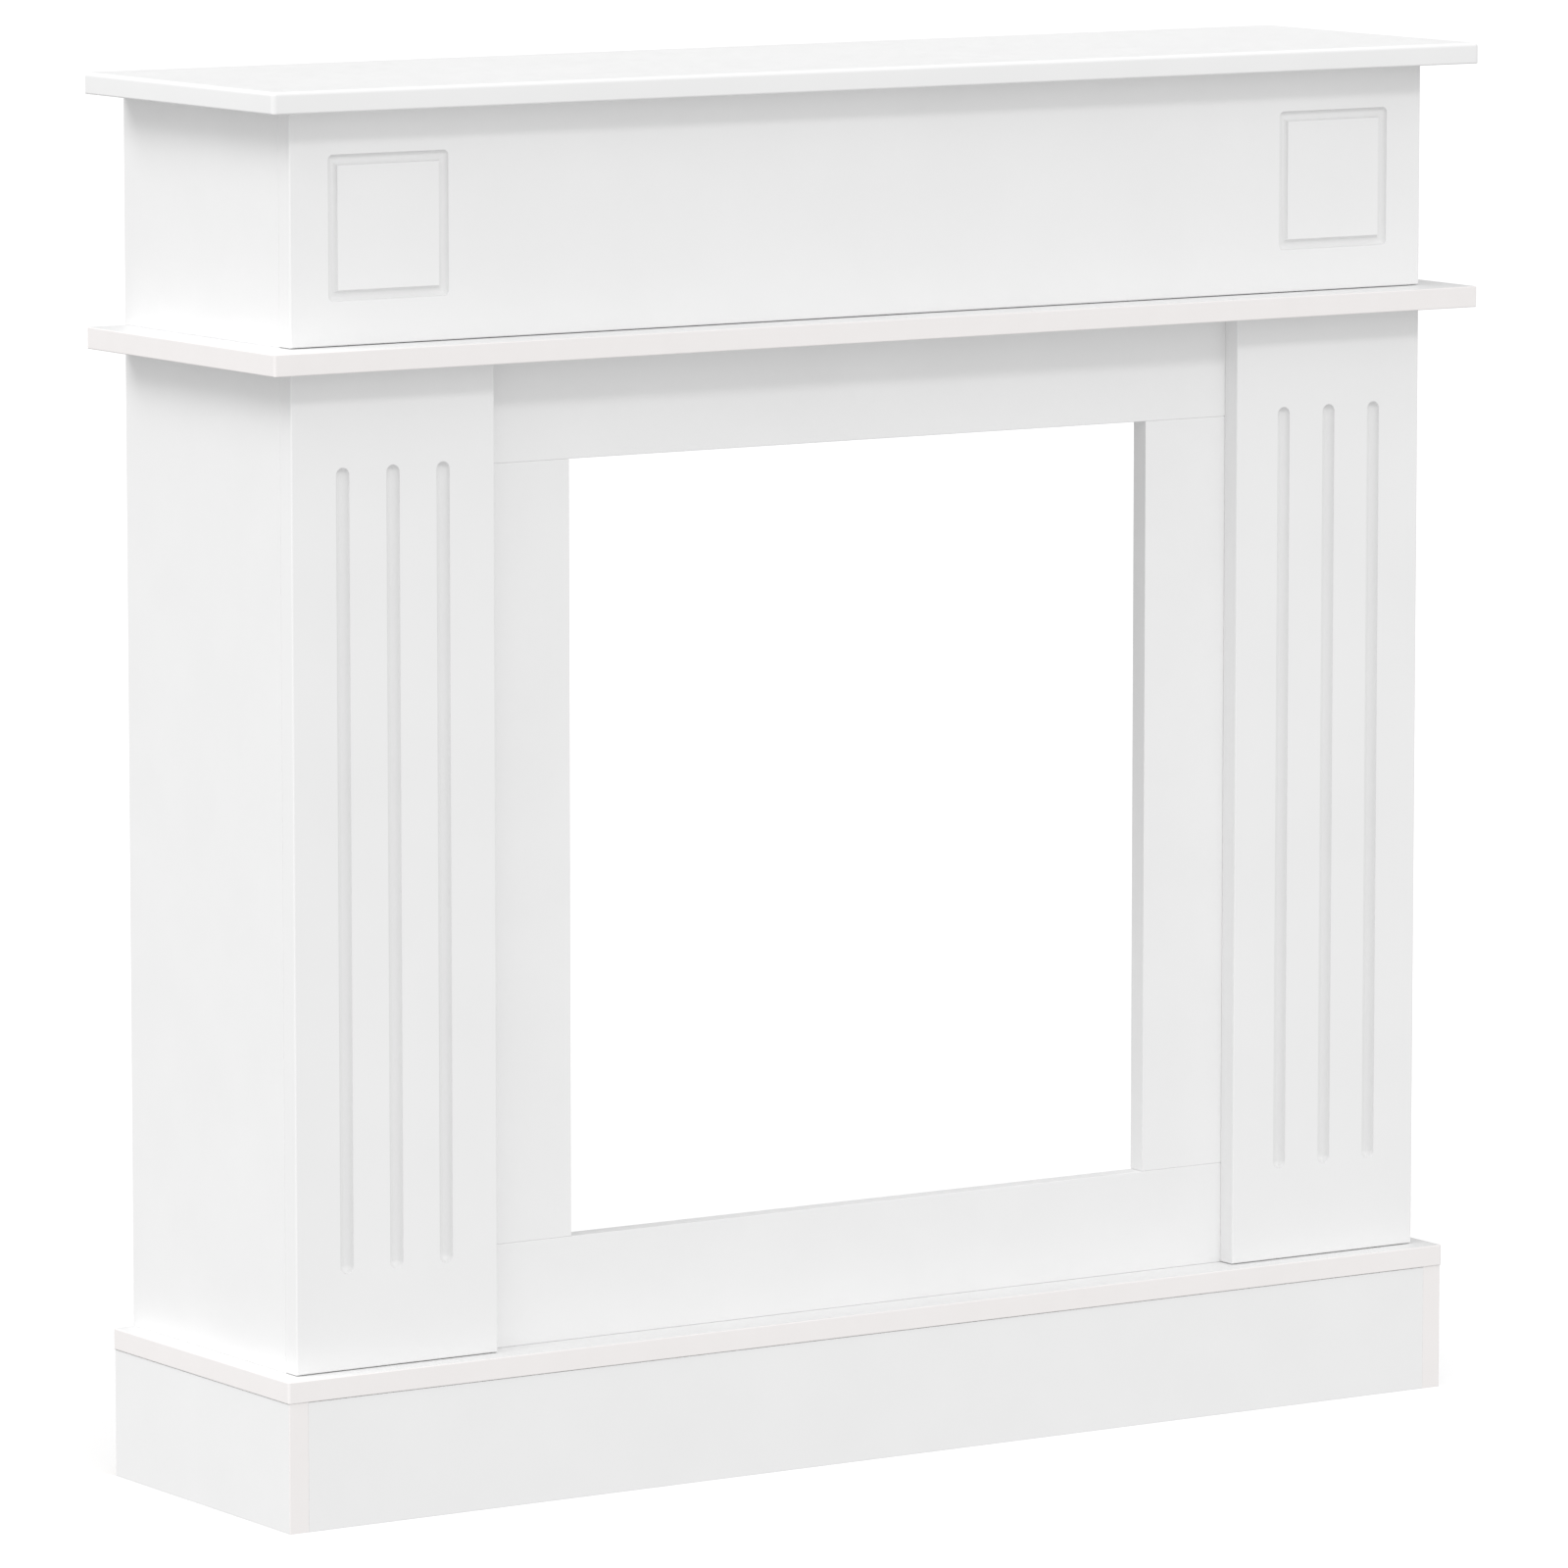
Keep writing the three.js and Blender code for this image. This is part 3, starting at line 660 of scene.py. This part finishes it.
def studio():
    """A plain floor that throws no light back, a world brighter from the front left and above,
    and lamps that light the surround alone."""
    mesh = bpy.data.meshes.new("floor")
    reach = FLOOR_REACH
    mesh.from_pydata([(-reach, -reach, 0), (reach, -reach, 0), (reach, reach, 0), (-reach, reach, 0)],
                     [], [(0, 1, 2, 3)])
    mesh.materials.append(FLOOR)
    floor = bpy.data.objects.new("floor", mesh)
    bpy.context.scene.collection.objects.link(floor)
    floor.visible_diffuse = False
    floor.visible_glossy = False
    shader = FLOOR.node_tree.nodes["Principled BSDF"]
    shader.inputs["Emission Color"].default_value = (1, 1, 1, 1)
    shader.inputs["Emission Strength"].default_value = GLOW
    FLOOR.cycles.emission_sampling = "NONE"

    world = bpy.data.worlds.new("studio")
    world.use_nodes = True
    nodes, links = world.node_tree.nodes, world.node_tree.links
    way = nodes.new("ShaderNodeTexCoord")
    lean = nodes.new("ShaderNodeVectorMath")
    lean.operation = "DOT_PRODUCT"
    lean.inputs[1].default_value = [WORLD * value for value in LEAN]
    total = nodes.new("ShaderNodeMath")
    total.inputs[1].default_value = WORLD
    links.new(way.outputs["Generated"], lean.inputs[0])
    links.new(lean.outputs["Value"], total.inputs[0])
    links.new(total.outputs["Value"], nodes["Background"].inputs["Strength"])
    nodes["Background"].inputs["Color"].default_value = (1, 1, 1, 1)
    world.cycles.sampling_method = "NONE"
    bpy.context.scene.world = world

    apart = bpy.data.collections.new("floor apart")
    apart.objects.link(floor)
    apart.collection_objects[0].light_linking.link_state = "EXCLUDE"
    for name, towards, strength, spread in LAMPS:
        lamp = bpy.data.lights.new(name, "SUN")
        lamp.energy = strength
        lamp.angle = math.radians(spread)
        made = bpy.data.objects.new(name, lamp)
        made.rotation_mode = "QUATERNION"
        made.rotation_quaternion = Vector(towards).to_track_quat("Z", "Y")
        made.light_linking.receiver_collection = apart
        bpy.context.scene.collection.objects.link(made)


studio()

lens = bpy.data.cameras.new("camera")
lens.lens = CAMERA["lens"]
lens.sensor_width = 36.0
lens.clip_end = 200.0
camera = bpy.data.objects.new("camera", lens)
camera.location = CAMERA["at"]
camera.rotation_euler = (math.radians(90 - CAMERA["down"]), 0.0, math.radians(-CAMERA["turn"]))
bpy.context.scene.collection.objects.link(camera)
bpy.context.scene.camera = camera
bpy.context.scene.view_settings.view_transform = "Standard"

bpy.context.view_layer.update()
